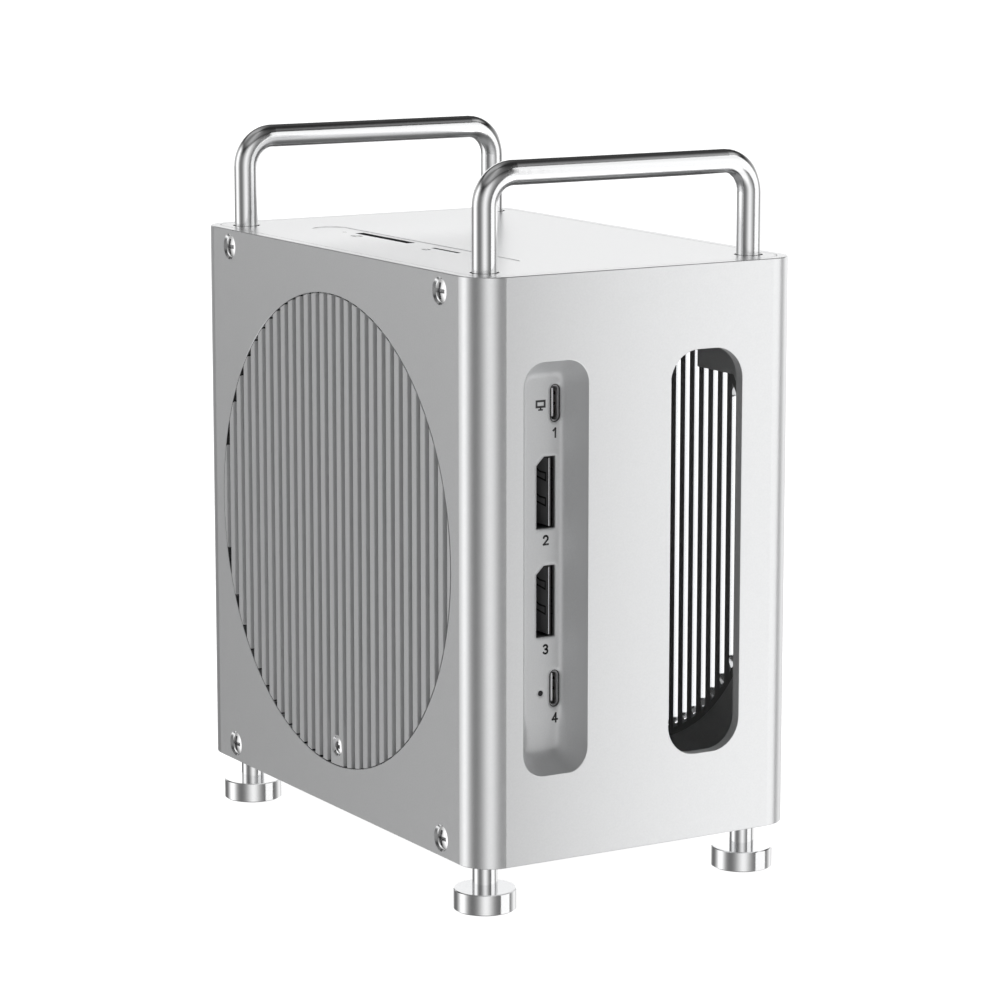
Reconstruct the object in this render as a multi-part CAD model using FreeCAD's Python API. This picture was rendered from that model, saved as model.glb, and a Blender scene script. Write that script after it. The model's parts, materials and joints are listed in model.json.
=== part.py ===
import FreeCAD, Part
import math
import os

# Upright docking station: a case made from a rounded tube, with a lid and a floor let into its ends,
# two bent-rod handles set into the lid, turned feet set into the floor, a round slatted grille in each
# side, and a sunk strip of ports in the front. Millimetres. +Z is up, the ports face -Y, and the origin
# is under the middle of the case on the surface that the feet stand on.

# Case tube
case_width = 84.0
case_depth = 132.0
case_height = 130.0
case_corner = 7.5
case_wall = 2.4
edge_break = 0.15

# Lid and floor plates, let into the tube
plate_thickness = 3.0
plate_gap = 0.15

# Handle rods, whose legs end in the lid's corner blocks
rod_diameter = 5.6
rod_inset_x = 7.7
rod_inset_y = 9.6
handle_height = 24.0
handle_bend = 7.0
handle_depth = 11.0
rod_bore_gap = 0.1
rod_ring_gap = 0.45
rod_ring_depth = 1.5

# Turned feet, whose stems go up into the floor's corner blocks
foot_diameter = 14.0
foot_thickness = 4.7
foot_break = 0.2
foot_stem = 6.6
stem_diameter = 5.6
stem_depth = 9.5
foot_gap = 0.05
pad_diameter = 10.0
pad_thickness = 1.0
pad_stand = 0.2

# Corner blocks under the lid and on the floor, which take the legs, the stems and the side screws
block_length = 19.4
block_half_width = 5.2
lid_block_drop = 23.5
floor_block_rise = 8.0
block_clearance = 0.5

# Countersunk screws through the sides of the tube, with crowned heads sunk a little below the face
shell_screw_diameter = 3.0
shell_screw_head = 5.2
shell_screw_length = 10.0
shell_screw_inset_y = 15.7
lid_screw_inset = 4.1
floor_screw_inset = 4.2
screw_sunk = 0.5
screw_crown = 0.45
screw_gap = 0.05
driver_slot = 0.9
driver_depth = 0.9
driver_margin = 0.8

# Set screws that lock the rods in the lid's blocks
set_screw_diameter = 3.0
set_screw_drop = 8.0

# Round side grilles of upright slats
grille_margin = 10.0
grille_gap = 0.25
slat_pitch = 3.88
slat_gap = 1.8
slat_thickness = 3.0
slat_break = 0.12

# Flange that joins the ends of the slats behind the wall of the tube
flange_reach = 2.5
flange_thickness = 1.0
flange_gap = 0.1
flange_relief = 0.3
slot_run = 1.0

# Screw at the foot of each grille, and the tab of the floor that it goes into
grille_screw_diameter = 2.5
grille_screw_head = 3.8
grille_screw_inset = 4.7
grille_screw_length = 7.0
grille_boss_diameter = 5.4
tab_width = 12.0
tab_thickness = 4.0
tab_above = 5.0

# Both slots of the front stand a little above its middle
slot_rise = 0.3

# Vent slot through the front wall; its inset is from the right side of the case
vent_inset = 25.0
vent_width = 18.9
vent_length = 91.5
vent_corner = 7.2

# Sunk port strip: a hollow with sloping sides and a flat floor; its inset is from the left side
recess_inset = 20.1
recess_width = 16.6
recess_length = 91.7
recess_corner = 5.4
recess_depth = 6.0
recess_slope = 3.5
recess_cove = 1.2
tray_wall = 1.6
tray_floor = 1.2
tray_flange = 2.0
tray_flange_thickness = 1.2

# Ports in the tray; offsets are from the middle of the strip, and heights from the middle of the case
port_offset = 3.25
port_opening_width = 2.65
port_opening_length = 8.4
port_shell_wall = 0.3
port_shell_length = 7.5
port_tongue_width = 6.7
port_tongue_thickness = 0.7
port_tongue_setback = 1.4
port_base = 1.2
host_port_height = 35.95
power_port_height = -27.65

display_offset = 1.0
display_width = 4.9
display_length = 16.0
display_corner = 1.9
display_shell_wall = 0.4
display_shell_length = 14.0
display_tongue_width = 15.2
display_tongue_thickness = 0.65
display_tongue_offset = 1.13
display_tongue_setback = 0.4
display_base = 2.0
upper_display_height = 16.35
lower_display_height = -7.85

# Light pipes: a thin nose in a hole, with a shoulder behind it
light_gap = 0.05
light_shoulder = 0.7
light_length = 2.5
status_light_offset = -0.3
status_light_height = -28.4
status_light_diameter = 1.2
card_light_offset = 2.0
card_light_y = 31.5
card_light_diameter = 1.0

# Circuit board, upright behind the port strip
board_thickness = 1.6
board_length = 100.0
board_gap = 0.4
board_corner = 2.0
board_lift = 11.0
board_screw_diameter = 2.5
board_screw_head = 4.5
board_screw_head_height = 1.6
board_hole_gap = 0.1
board_screw_inset = 5.0
lug_front_y = -30.0
lug_rear_y = 36.0
lug_width = 8.0
lug_thickness = 4.0
lug_beyond = 4.0

# Card slots in the lid, in a shallow round-ended strip, with a socket under each
strip_offset = 1.425
strip_width = 8.7
strip_length = 88.0
strip_depth = 0.1
card_y = 15.5
card_slot_width = 2.4
card_slot_length = 25.2
card_rise = 1.9
card_socket_depth = 24.0
micro_y = -14.3
micro_slot_width = 1.2
micro_slot_length = 12.1
micro_rise = 2.6
micro_socket_depth = 15.0
socket_wall = 0.6
socket_floor = 2.0
socket_gap = 0.1

# Controller chip, thermal pad and heat sink on the board
chip_size = 18.0
chip_thickness = 1.2
thermal_pad_thickness = 0.5
cooler_height = -5.0
sink_gap = 3.8
sink_width = 76.0
sink_length = 66.0
sink_base = 3.0
fin_height = 11.0
fin_thickness = 1.2
fin_pitch = 5.0
post_diameter = 5.0
post_inset = 5.0
sink_screw_bite = 2.0

# Parts on the board's other face; insets are from its front edge, and heights from the middle of the case
inductor_size = 7.0
inductor_thickness = 3.0
inductor_break = 0.8
inductor_inset = 22.0
inductor_pitch = 11.0
inductor_count = 3
inductor_height = -17.8
capacitor_diameter = 5.0
capacitor_thickness = 3.9
capacitor_break = 0.5
capacitor_pitch = 8.0
capacitor_count = 4
capacitor_height = -5.5
small_chip_thickness = 0.9
display_chip_size = 9.0
display_chip_inset = 22.0
display_chip_height = 8.5
hub_chip_size = 10.0
hub_chip_inset = 50.0
hub_chip_height = 23.5
card_chip_size = 6.0
card_chip_inset = 68.0
card_chip_height = 36.0

V = FreeCAD.Vector
X = V(1, 0, 0)
Y = V(0, 1, 0)
Z = V(0, 0, 1)
over = 1.0
same_place = 0.001

# Levels and faces that several pieces share
half_width = case_width / 2
half_depth = case_depth / 2
case_bottom = pad_stand + foot_thickness + foot_stem
case_top = case_bottom + case_height
case_middle = case_bottom + case_height / 2
lid_under = case_top - plate_thickness
floor_top = case_bottom + plate_thickness
wall_inside_y = -half_depth + case_wall
rod_radius = rod_diameter / 2
rod_x = half_width - rod_inset_x
rod_y = half_depth - rod_inset_y
leg_end = lid_under - handle_depth
stem_end = case_bottom + stem_depth
plate_half_width = half_width - case_wall - plate_gap
plate_half_depth = half_depth - case_wall - plate_gap
plate_corner = case_corner - case_wall - plate_gap
shell_screw_y = half_depth - shell_screw_inset_y
lid_screw_z = case_top - lid_screw_inset
floor_screw_z = case_bottom + floor_screw_inset
set_screw_z = lid_under - set_screw_drop
opening_radius = min(case_depth, case_height) / 2 - grille_margin
grille_radius = opening_radius - grille_gap
slat_back = half_width - slat_thickness
flange_face = half_width - case_wall - flange_gap
flange_back = flange_face - flange_thickness
flange_radius = opening_radius + flange_reach
slot_radius = opening_radius + slot_run
grille_screw_y = slat_pitch / 2
grille_screw_z = case_middle - opening_radius + grille_screw_inset
vent_x = half_width - vent_inset
slot_middle = case_middle + slot_rise
recess_x = recess_inset - half_width
port_x = recess_x + port_offset
display_x = recess_x + display_offset
status_light_x = recess_x + status_light_offset
recess_floor_y = -half_depth + recess_depth
tray_back = recess_floor_y + tray_floor
tray_top = slot_middle + recess_length / 2 + tray_wall + tray_flange
board_face = port_x + port_opening_width / 2 + port_shell_wall
board_back = board_face + board_thickness
board_front_y = tray_back + board_gap
board_bottom = floor_top + board_lift
board_top = lid_under - board_gap
lid_lug_screw_z = board_top - board_screw_inset
floor_lug_screw_z = board_bottom + board_screw_inset
lug_spots = [lug_front_y, lug_rear_y]
card_x = board_face - card_rise
micro_x = board_face - micro_rise
strip_x = card_x - strip_offset
strip_floor = plate_thickness - strip_depth
card_light_x = card_x - card_light_offset
sink_foot = board_face - chip_thickness - thermal_pad_thickness
sink_face = sink_foot - sink_base
cooler_y = tray_back + display_shell_length + display_base + sink_gap + sink_width / 2
cooler_z = case_middle + cooler_height
corners = [(sx, sy) for sx in (-1, 1) for sy in (-1, 1)]
post_spots = [(cooler_y + sy * (sink_width / 2 - post_inset), cooler_z + sz * (sink_length / 2 - post_inset))
              for sy, sz in corners]


# Basic shapes

def box(x0, x1, y0, y1, z0, z1):
    return Part.makeBox(x1 - x0, y1 - y0, z1 - z0, V(x0, y0, z0))


def rounded_prism(half_x, half_y, radius, z0, z1):
    """Upright prism of rounded-rectangle section about the Z axis."""
    block = box(-half_x, half_x, -half_y, half_y, z0, z1)
    upright = [edge for edge in block.Edges if edge.BoundBox.ZLength > (z1 - z0) / 2]
    return block.makeFillet(radius, upright)


def stadium_wire(centre, along, through, width, length):
    """Round-ended outline about a centre, with its long axis and the direction that it faces."""
    side = along.cross(through) * (width / 2)
    reach = along * (length / 2 - width / 2)
    tip = along * (length / 2)
    edges = [
        Part.LineSegment(centre - side - reach, centre - side + reach).toShape(),
        Part.Arc(centre - side + reach, centre + tip, centre + side + reach).toShape(),
        Part.LineSegment(centre + side + reach, centre + side - reach).toShape(),
        Part.Arc(centre + side - reach, centre - tip, centre - side - reach).toShape(),
    ]
    return Part.Wire(edges)


def stadium(centre, along, through, width, length, depth):
    """Round-ended prism, from the centre of its first face."""
    return Part.Face(stadium_wire(centre, along, through, width, length)).extrude(through * depth)


def slot_wire(centre, along, through, width, length, radius):
    """Rounded-rectangle outline about a centre, with its long axis and the direction that it faces."""
    across = along.cross(through)
    corner_points = []
    for side, end, step in ((1, 1, 1), (-1, 1, -1), (-1, -1, 1), (1, -1, -1)):
        hub = centre + across * (side * (width / 2 - radius)) + along * (end * (length / 2 - radius))
        out = across * (side * radius)
        up = along * (end * radius)
        corner_points.append([hub + out, hub + (out + up) * math.sqrt(0.5), hub + up][::step])
    edges = []
    for points, following in zip(corner_points, corner_points[1:] + corner_points[:1]):
        edges.append(Part.Arc(*points).toShape())
        edges.append(Part.LineSegment(points[-1], following[0]).toShape())
    return Part.Wire(edges)


def slot_prism(centre, along, through, width, length, radius, depth):
    """Rounded-rectangle prism, from the centre of its first face."""
    return Part.Face(slot_wire(centre, along, through, width, length, radius)).extrude(through * depth)


def display_profile(height, grow, y0, y1):
    """Prism of the display socket's section, with its one cut corner, grown outwards by a wall."""
    middle = case_middle + height
    x0 = display_x - display_width / 2 - grow
    x1 = display_x + display_width / 2 + grow
    z0 = middle - display_length / 2 - grow
    z1 = middle + display_length / 2 + grow
    points = [
        V(x0, y0, z0),
        V(x1, y0, z0),
        V(x1, y0, z1),
        V(x0 + display_corner, y0, z1),
        V(x0, y0, z1 - display_corner),
    ]
    return Part.Face(Part.makePolygon(points + points[:1])).extrude(Y * (y1 - y0))


def cross_slot(centre, along, length):
    """Two crossed slots for a driver, cut inwards from the top of a screw head."""
    arm = box(-length / 2, length / 2, -driver_slot / 2, driver_slot / 2, -driver_depth, over)
    other = arm.copy()
    other.rotate(V(0, 0, 0), Z, 90)
    cross = arm.fuse(other)
    cross.Placement = FreeCAD.Placement(centre, FreeCAD.Rotation(Z, along))
    return cross


def countersink(face, inwards, head, diameter, length):
    """Countersunk hole from a face, which lets the rim of a screw's head below the face."""
    mouth = head / 2 + screw_sunk
    radius = diameter / 2 + screw_gap
    cone = Part.makeCone(mouth, radius, mouth - radius, face, inwards)
    return [cone, Part.makeCylinder(radius, length, face, inwards)]


def half_turn(shape):
    """The same piece on the opposite side, turned about the Z axis."""
    turned = shape.copy()
    turned.rotate(V(0, 0, 0), Z, 180)
    return turned


# Case tube

def port_hollow():
    """The space of the port strip: wide at the front face, sloping in to a flat floor."""
    def outline(y):
        inset = recess_slope * (y + half_depth) / recess_depth
        middle = V(recess_x, y, slot_middle)
        return slot_wire(middle, Z, Y, recess_width - 2 * inset, recess_length - 2 * inset,
                         recess_corner - inset)

    hollow = Part.makeLoft([outline(-half_depth), outline(recess_floor_y)], True, True)
    floor_edges = [edge for edge in hollow.Edges if edge.BoundBox.YMin > recess_floor_y - same_place]
    return hollow.makeFillet(recess_cove, floor_edges)


def side_screw_tools():
    """Countersunk holes for the side screws, through both sides of the tube."""
    tools = []
    for side, sy in corners:
        for z in (lid_screw_z, floor_screw_z):
            face = V(side * half_width, sy * shell_screw_y, z)
            tools += countersink(face, X * -side, shell_screw_head, shell_screw_diameter, case_wall + over)
    return tools


def make_body_shell():
    outer = rounded_prism(half_width, half_depth, case_corner, case_bottom, case_top)
    rims = [edge for edge in outer.Edges if edge.BoundBox.ZLength < over]
    outer = outer.makeChamfer(edge_break, rims)
    inner = rounded_prism(half_width - case_wall, half_depth - case_wall, case_corner - case_wall,
                          case_bottom - over, case_top + over)
    vent_start = V(vent_x, -half_depth - over, slot_middle)
    vent = slot_prism(vent_start, Z, Y, vent_width, vent_length, vent_corner, case_wall + 2 * over)
    side_openings = Part.makeCylinder(opening_radius, case_width + 2 * over,
                                      V(-half_width - over, 0, case_middle), X)
    shell = outer.cut([inner, port_hollow(), vent, side_openings])
    return break_opening_edges(shell).cut(side_screw_tools())


def break_opening_edges(shell):
    """Small chamfers round the mouths of the front and side openings."""
    mouths = []
    for edge in shell.Edges:
        spot = edge.CenterOfMass
        on_front = abs(spot.y + half_depth) < same_place
        off_corner = abs(spot.x) < half_width - case_corner - over
        off_rims = abs(spot.z - case_middle) < case_height / 2 - plate_thickness
        on_side = abs(abs(spot.x) - half_width) < same_place
        round_mouth = hasattr(edge.Curve, "Radius") and abs(edge.Curve.Radius - opening_radius) < same_place
        if (on_front and off_corner and off_rims) or (on_side and round_mouth):
            mouths.append(edge)
    return shell.makeChamfer(edge_break / 2, mouths)


# Lid and floor

def corner_block(side, sy, z0, z1):
    """Block in a corner of the tube, trimmed to the plate's rounded outline."""
    x0, x1 = sorted([side * (rod_x - block_half_width), side * (plate_half_width + over)])
    y0, y1 = sorted([sy * (plate_half_depth - block_length), sy * (plate_half_depth + over)])
    outline = rounded_prism(plate_half_width, plate_half_depth, plate_corner, z0, z1)
    return box(x0, x1, y0, y1, z0, z1).common(outline)


def lid_block_bottom(side, sy):
    """The block beside the port tray stops short above the tray."""
    bottom = lid_under - lid_block_drop
    if side < 0 and sy < 0:
        bottom = max(bottom, tray_top + block_clearance)
    return bottom


def block_screw_holes(z):
    radius = shell_screw_diameter / 2 + screw_gap
    holes = []
    for side, sy in corners:
        face = V(side * half_width, sy * shell_screw_y, z)
        holes.append(Part.makeCylinder(radius, shell_screw_length, face, X * -side))
    return holes


def rod_holes(radius, z0, z1):
    return [Part.makeCylinder(radius, z1 - z0, V(sx * rod_x, sy * rod_y, z0), Z) for sx, sy in corners]


def board_lug(y, z0, z1):
    return box(board_back, board_back + lug_thickness, y - lug_width / 2, y + lug_width / 2, z0, z1)


def lug_holes(z):
    radius = board_screw_diameter / 2 + screw_gap
    length = lug_thickness + 2 * over
    return [Part.makeCylinder(radius, length, V(board_back - over, y, z), X) for y in lug_spots]


def flange_room():
    """Space in the lid's blocks for the flanges of the two grilles."""
    start = V(flange_back - flange_relief, 0, case_middle)
    room = Part.makeCylinder(flange_radius + flange_relief, half_width - start.x, start, X)
    return [room, half_turn(room)]


def set_screw_length():
    return block_half_width - rod_radius


def set_screw_start(side, sy):
    return V(side * (rod_x - block_half_width), sy * rod_y, set_screw_z)


def card_slot(x, y, width, length, z0, z1):
    return box(x - width / 2, x + width / 2, y - length / 2, y + length / 2, z0, z1)


def lid_openings():
    """The shallow strip in the lid, the two card slots in it and the hole for the card light."""
    low = lid_under - over
    high = case_top + over
    light_radius = card_light_diameter / 2 + light_gap
    return [
        stadium(V(strip_x, 0, case_top - strip_depth), Y, Z, strip_width, strip_length, over),
        card_slot(card_x, card_y, card_slot_width, card_slot_length, low, high),
        card_slot(micro_x, micro_y, micro_slot_width, micro_slot_length, low, high),
        Part.makeCylinder(light_radius, high - low, V(card_light_x, card_light_y, low), Z),
    ]


def make_top_plate():
    plate = rounded_prism(plate_half_width, plate_half_depth, plate_corner, lid_under, case_top)
    blocks = [corner_block(sx, sy, lid_block_bottom(sx, sy), lid_under) for sx, sy in corners]
    lugs = [board_lug(y, lid_lug_screw_z - lug_beyond, lid_under) for y in lug_spots]
    plate = plate.fuse(blocks + lugs).removeSplitter()
    cuts = flange_room()
    cuts += rod_holes(rod_radius + rod_bore_gap, leg_end - rod_bore_gap, case_top + over)
    cuts += rod_holes(rod_radius + rod_ring_gap, case_top - rod_ring_depth, case_top + over)
    cuts += block_screw_holes(lid_screw_z)
    cuts += lug_holes(lid_lug_screw_z)
    cuts += [Part.makeCylinder(set_screw_diameter / 2 + screw_gap, block_half_width,
                               set_screw_start(sx, sy), X * sx) for sx, sy in corners]
    return plate.cut(cuts + lid_openings())


def make_bottom_plate():
    plate = rounded_prism(plate_half_width, plate_half_depth, plate_corner, case_bottom, floor_top)
    blocks = [corner_block(sx, sy, floor_top, floor_top + floor_block_rise) for sx, sy in corners]
    lugs = [board_lug(y, floor_top, floor_lug_screw_z + lug_beyond) for y in lug_spots]
    tab = box(flange_back - tab_thickness, flange_back, grille_screw_y - tab_width / 2,
              grille_screw_y + tab_width / 2, floor_top, grille_screw_z + tab_above)
    plate = plate.fuse(blocks + lugs + [tab, half_turn(tab)]).removeSplitter()
    tab_hole = Part.makeCylinder(grille_screw_diameter / 2 + screw_gap, tab_thickness + 2 * over,
                                 V(flange_back + over, grille_screw_y, grille_screw_z), -X)
    cuts = rod_holes(stem_diameter / 2 + rod_bore_gap, case_bottom - over, stem_end + rod_bore_gap)
    cuts += rod_holes(stem_diameter / 2 + rod_ring_gap, case_bottom - over, case_bottom + rod_ring_depth)
    cuts += block_screw_holes(floor_screw_z)
    cuts += lug_holes(floor_lug_screw_z)
    cuts += [tab_hole, half_turn(tab_hole)]
    return plate.cut(cuts)


# Side grilles

def slat_slot(y):
    """Upright cut between two slats, with broken edges at the face; it stops above the screw."""
    half = slat_gap / 2
    wide = half + slat_break
    face = half_width
    low = case_middle - opening_radius - over
    high = case_middle + opening_radius + over
    if abs(y - grille_screw_y) < same_place:
        low = grille_screw_z + grille_boss_diameter / 2
    outline = [
        (slat_back - over, -half),
        (face - slat_break, -half),
        (face, -wide),
        (face + over, -wide),
        (face + over, wide),
        (face, wide),
        (face - slat_break, half),
        (slat_back - over, half),
    ]
    points = [V(x, y + offset, low) for x, offset in outline]
    return Part.Face(Part.makePolygon(points + points[:1])).extrude(Z * (high - low))


def make_right_grille():
    """Slats trimmed to a disc, joined at their ends by a flange behind the wall, with a screw boss."""
    disc = Part.makeCylinder(grille_radius, slat_thickness, V(slat_back, 0, case_middle), X)
    plate = Part.makeCylinder(flange_radius, flange_thickness, V(flange_back, 0, case_middle), X)
    hollow_depth = slat_back - flange_back
    hollow = Part.makeCylinder(slot_radius, hollow_depth, V(flange_back, 0, case_middle), X)
    slot_count = int((grille_radius - slat_gap / 2) / slat_pitch + 0.5)
    middles = [(step + 0.5) * slat_pitch for step in range(slot_count)]
    slots = Part.makeCompound([slat_slot(sign * y) for y in middles for sign in (-1, 1)])
    reach = Part.makeCylinder(slot_radius, slat_thickness + over, V(slat_back - over, 0, case_middle), X)
    slats = disc.fuse(plate.cut(hollow)).cut(slots.common(reach))
    boss_start = V(flange_back, grille_screw_y, grille_screw_z)
    boss = Part.makeCylinder(grille_boss_diameter / 2, hollow_depth, boss_start, X)
    screw_face = V(half_width, grille_screw_y, grille_screw_z)
    hole = countersink(screw_face, -X, grille_screw_head, grille_screw_diameter, half_width - flange_back)
    return slats.fuse(boss).removeSplitter().cut(hole)


# Front tray and what shows in it

def port_stadium(height, grow, y0, y1):
    middle = V(port_x, y0, case_middle + height)
    return stadium(middle, Z, Y, port_opening_width + 2 * grow, port_opening_length + 2 * grow, y1 - y0)


def make_port_tray():
    """Cup behind the front opening, with a flange against the wall, hollowed by the strip's own space."""
    seat = V(recess_x, wall_inside_y, slot_middle)

    def plate(grow, depth):
        return slot_prism(seat, Z, Y, recess_width + 2 * grow, recess_length + 2 * grow,
                          recess_corner + grow, depth)

    cup = plate(tray_wall, tray_back - wall_inside_y)
    flange = plate(tray_wall + tray_flange, tray_flange_thickness)
    y0 = recess_floor_y - over
    y1 = tray_back + over
    cuts = [port_stadium(height, 0, y0, y1) for height in (host_port_height, power_port_height)]
    cuts += [display_profile(height, 0, y0, y1) for height in (upper_display_height, lower_display_height)]
    cuts.append(Part.makeCylinder(status_light_diameter / 2 + light_gap, y1 - y0,
                                  V(status_light_x, y0, case_middle + status_light_height), Y))
    return cup.fuse(flange).cut([port_hollow()] + cuts).removeSplitter()


def make_port_shell(height):
    end = tray_back + port_shell_length
    return port_stadium(height, port_shell_wall, tray_back, end).cut(port_stadium(height, 0, tray_back, end))


def make_port_tongue(height):
    """Tongue inside a port's shell, on a base that closes the shell's rear end."""
    middle = case_middle + height
    end = tray_back + port_shell_length
    base = port_stadium(height, port_shell_wall, end, end + port_base)
    half = port_tongue_thickness / 2
    tongue = box(port_x - half, port_x + half, recess_floor_y + port_tongue_setback, end,
                 middle - port_tongue_width / 2, middle + port_tongue_width / 2)
    return base.fuse(tongue)


def make_display_shell(height):
    end = tray_back + display_shell_length
    outer = display_profile(height, display_shell_wall, tray_back, end)
    return outer.cut(display_profile(height, 0, tray_back, end))


def make_display_insert(height):
    """Tongue inside a display socket, its rear block, and the base that stands on the board."""
    middle = case_middle + height
    half_length = display_length / 2 + display_shell_wall
    end = tray_back + display_shell_length
    shell_side = display_x + display_width / 2 + display_shell_wall
    rear = box(shell_side - display_width - 2 * display_shell_wall, board_face, end, end + display_base,
               middle - half_length, middle + half_length)
    base = box(shell_side, board_face, board_front_y, end, middle - half_length, middle + half_length)
    tongue_x = display_x + display_tongue_offset
    half = display_tongue_thickness / 2
    tongue = box(tongue_x - half, tongue_x + half, recess_floor_y + display_tongue_setback, end,
                 middle - display_tongue_width / 2, middle + display_tongue_width / 2)
    return rear.fuse([base, tongue]).removeSplitter()


def make_light_pipe(tip, inwards, radius, wall):
    """Nose through a wall, from its tip inwards, with a shoulder seated behind the wall."""
    nose = Part.makeCylinder(radius, wall, tip, inwards)
    shoulder = Part.makeCylinder(radius + light_shoulder, light_length, tip + inwards * wall, inwards)
    return nose.fuse(shoulder)


# Circuit board and what stands on it

def make_main_board():
    board = box(board_face, board_back, board_front_y, board_front_y + board_length, board_bottom, board_top)
    across = [edge for edge in board.Edges if edge.BoundBox.XLength > board_thickness / 2]
    board = board.makeFillet(board_corner, across)
    radius = board_screw_diameter / 2 + board_hole_gap
    length = board_thickness + 2 * over
    spots = [(y, z) for y in lug_spots for z in (lid_lug_screw_z, floor_lug_screw_z)] + post_spots
    return board.cut([Part.makeCylinder(radius, length, V(board_face - over, y, z), X) for y, z in spots])


def make_socket(x, y, width, length, rise, depth):
    """Card socket on the board: a box under the lid, with a blind slot in line with the lid's slot."""
    top = lid_under - socket_gap
    shell = box(board_face - rise - width / 2 - socket_wall, board_face,
                y - length / 2 - socket_wall, y + length / 2 + socket_wall, top - depth, top)
    return shell.cut(card_slot(x, y, width, length, top - depth + socket_floor, top + over))


def slab(size, x0, x1):
    """Square plate on the board under the heat sink."""
    half = size / 2
    return box(x0, x1, cooler_y - half, cooler_y + half, cooler_z - half, cooler_z + half)


def make_heat_sink():
    """Base with upright fins towards the left grille, and posts that stand on the board."""
    low = cooler_z - sink_length / 2
    high = cooler_z + sink_length / 2
    base = box(sink_face, sink_foot, cooler_y - sink_width / 2, cooler_y + sink_width / 2, low, high)
    fin_count = int((sink_width - fin_thickness) / fin_pitch) + 1
    first = cooler_y - (fin_count - 1) * fin_pitch / 2
    fins = [box(sink_face - fin_height, sink_face, first + step * fin_pitch - fin_thickness / 2,
                first + step * fin_pitch + fin_thickness / 2, low, high) for step in range(fin_count)]
    posts = [Part.makeCylinder(post_diameter / 2, board_face - sink_foot, V(sink_foot, y, z), X)
             for y, z in post_spots]
    bite = board_face - sink_foot + sink_screw_bite
    holes = [Part.makeCylinder(board_screw_diameter / 2 + screw_gap, bite, V(board_face, y, z), -X)
             for y, z in post_spots]
    return base.fuse(fins + posts).removeSplitter().cut(holes)


def make_small_chip(size, inset, height):
    y = board_front_y + inset
    z = case_middle + height
    half = size / 2
    return box(board_back, board_back + small_chip_thickness, y - half, y + half, z - half, z + half)


def make_power_inductors():
    """Row of square coils, with the upright corners of each cut off."""
    z = case_middle + inductor_height
    half = inductor_size / 2
    coils = []
    for step in range(inductor_count):
        y = board_front_y + inductor_inset + step * inductor_pitch
        coil = box(board_back, board_back + inductor_thickness, y - half, y + half, z - half, z + half)
        along = [edge for edge in coil.Edges if edge.BoundBox.XLength > inductor_thickness / 2]
        coils.append(coil.makeChamfer(inductor_break, along))
    return Part.makeCompound(coils)


def make_power_capacitors():
    """Row of round cans with bevelled tops."""
    z = case_middle + capacitor_height
    cans = []
    for step in range(capacitor_count):
        foot = V(board_back, board_front_y + inductor_inset + step * capacitor_pitch, z)
        can = Part.makeCylinder(capacitor_diameter / 2, capacitor_thickness, foot, X)
        far = [edge for edge in can.Edges if edge.BoundBox.XMin > board_back + capacitor_thickness / 2]
        cans.append(can.makeChamfer(capacitor_break, far))
    return Part.makeCompound(cans)


# Handles and feet

def make_front_handle():
    """Bent rod: up one leg from the lid's block, over the bar, and down the other leg."""
    bar_z = case_top + handle_height - rod_radius
    turn = handle_bend
    inset = turn * (1 - math.cos(math.pi / 4))
    left_low = V(-rod_x, -rod_y, leg_end)
    left_high = V(-rod_x, -rod_y, bar_z - turn)
    left_mid = V(-rod_x + inset, -rod_y, bar_z - inset)
    left_bar = V(-rod_x + turn, -rod_y, bar_z)
    right_bar = V(rod_x - turn, -rod_y, bar_z)
    right_mid = V(rod_x - inset, -rod_y, bar_z - inset)
    right_high = V(rod_x, -rod_y, bar_z - turn)
    right_low = V(rod_x, -rod_y, leg_end)
    path = Part.Wire([
        Part.LineSegment(left_low, left_high).toShape(),
        Part.Arc(left_high, left_mid, left_bar).toShape(),
        Part.LineSegment(left_bar, right_bar).toShape(),
        Part.Arc(right_bar, right_mid, right_high).toShape(),
        Part.LineSegment(right_high, right_low).toShape(),
    ])
    section = Part.Wire([Part.makeCircle(rod_radius, left_low, Z)])
    return path.makePipeShell([section], True, False)


def make_foot(sx, sy):
    """Disc and stem turned in one piece, with a pocket for the pad."""
    x = sx * rod_x
    y = sy * rod_y
    disc = Part.makeCylinder(foot_diameter / 2, foot_thickness, V(x, y, pad_stand), Z)
    rims = [edge for edge in disc.Edges if edge.BoundBox.ZLength < foot_break]
    disc = disc.makeChamfer(foot_break, rims)
    foot_top = pad_stand + foot_thickness
    stem = Part.makeCylinder(stem_diameter / 2, stem_end - foot_top, V(x, y, foot_top), Z)
    pocket = Part.makeCylinder(pad_diameter / 2 + foot_gap, pad_thickness, V(x, y, 0), Z)
    return disc.fuse(stem).cut(pocket)


def make_foot_pad(sx, sy):
    return Part.makeCylinder(pad_diameter / 2, pad_thickness, V(sx * rod_x, sy * rod_y, 0), Z)


# Fasteners

def countersunk_screw(face, outwards, head, diameter, length):
    """Screw with a low crown on its head, sunk below a face; its length is from that face."""
    rim = face - outwards * screw_sunk
    top = rim + outwards * screw_crown
    radius = head / 2
    shank_radius = diameter / 2
    ball_radius = (radius ** 2 + screw_crown ** 2) / (2 * screw_crown)
    ball = Part.makeSphere(ball_radius, top - outwards * ball_radius, outwards)
    crown = ball.common(Part.makeCylinder(head, head, rim, outwards))
    cone = Part.makeCone(radius, shank_radius, radius - shank_radius, rim, -outwards)
    shank = Part.makeCylinder(shank_radius, length - screw_sunk, rim, -outwards)
    screw = cone.fuse([crown, shank]).removeSplitter()
    return screw.cut(cross_slot(top, outwards, head - driver_margin * 2))


def make_right_shell_screws():
    spots = [(sy * shell_screw_y, z) for sy in (-1, 1) for z in (lid_screw_z, floor_screw_z)]
    length = shell_screw_length - screw_gap
    return Part.makeCompound([
        countersunk_screw(V(half_width, y, z), X, shell_screw_head, shell_screw_diameter, length)
        for y, z in spots])


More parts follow.
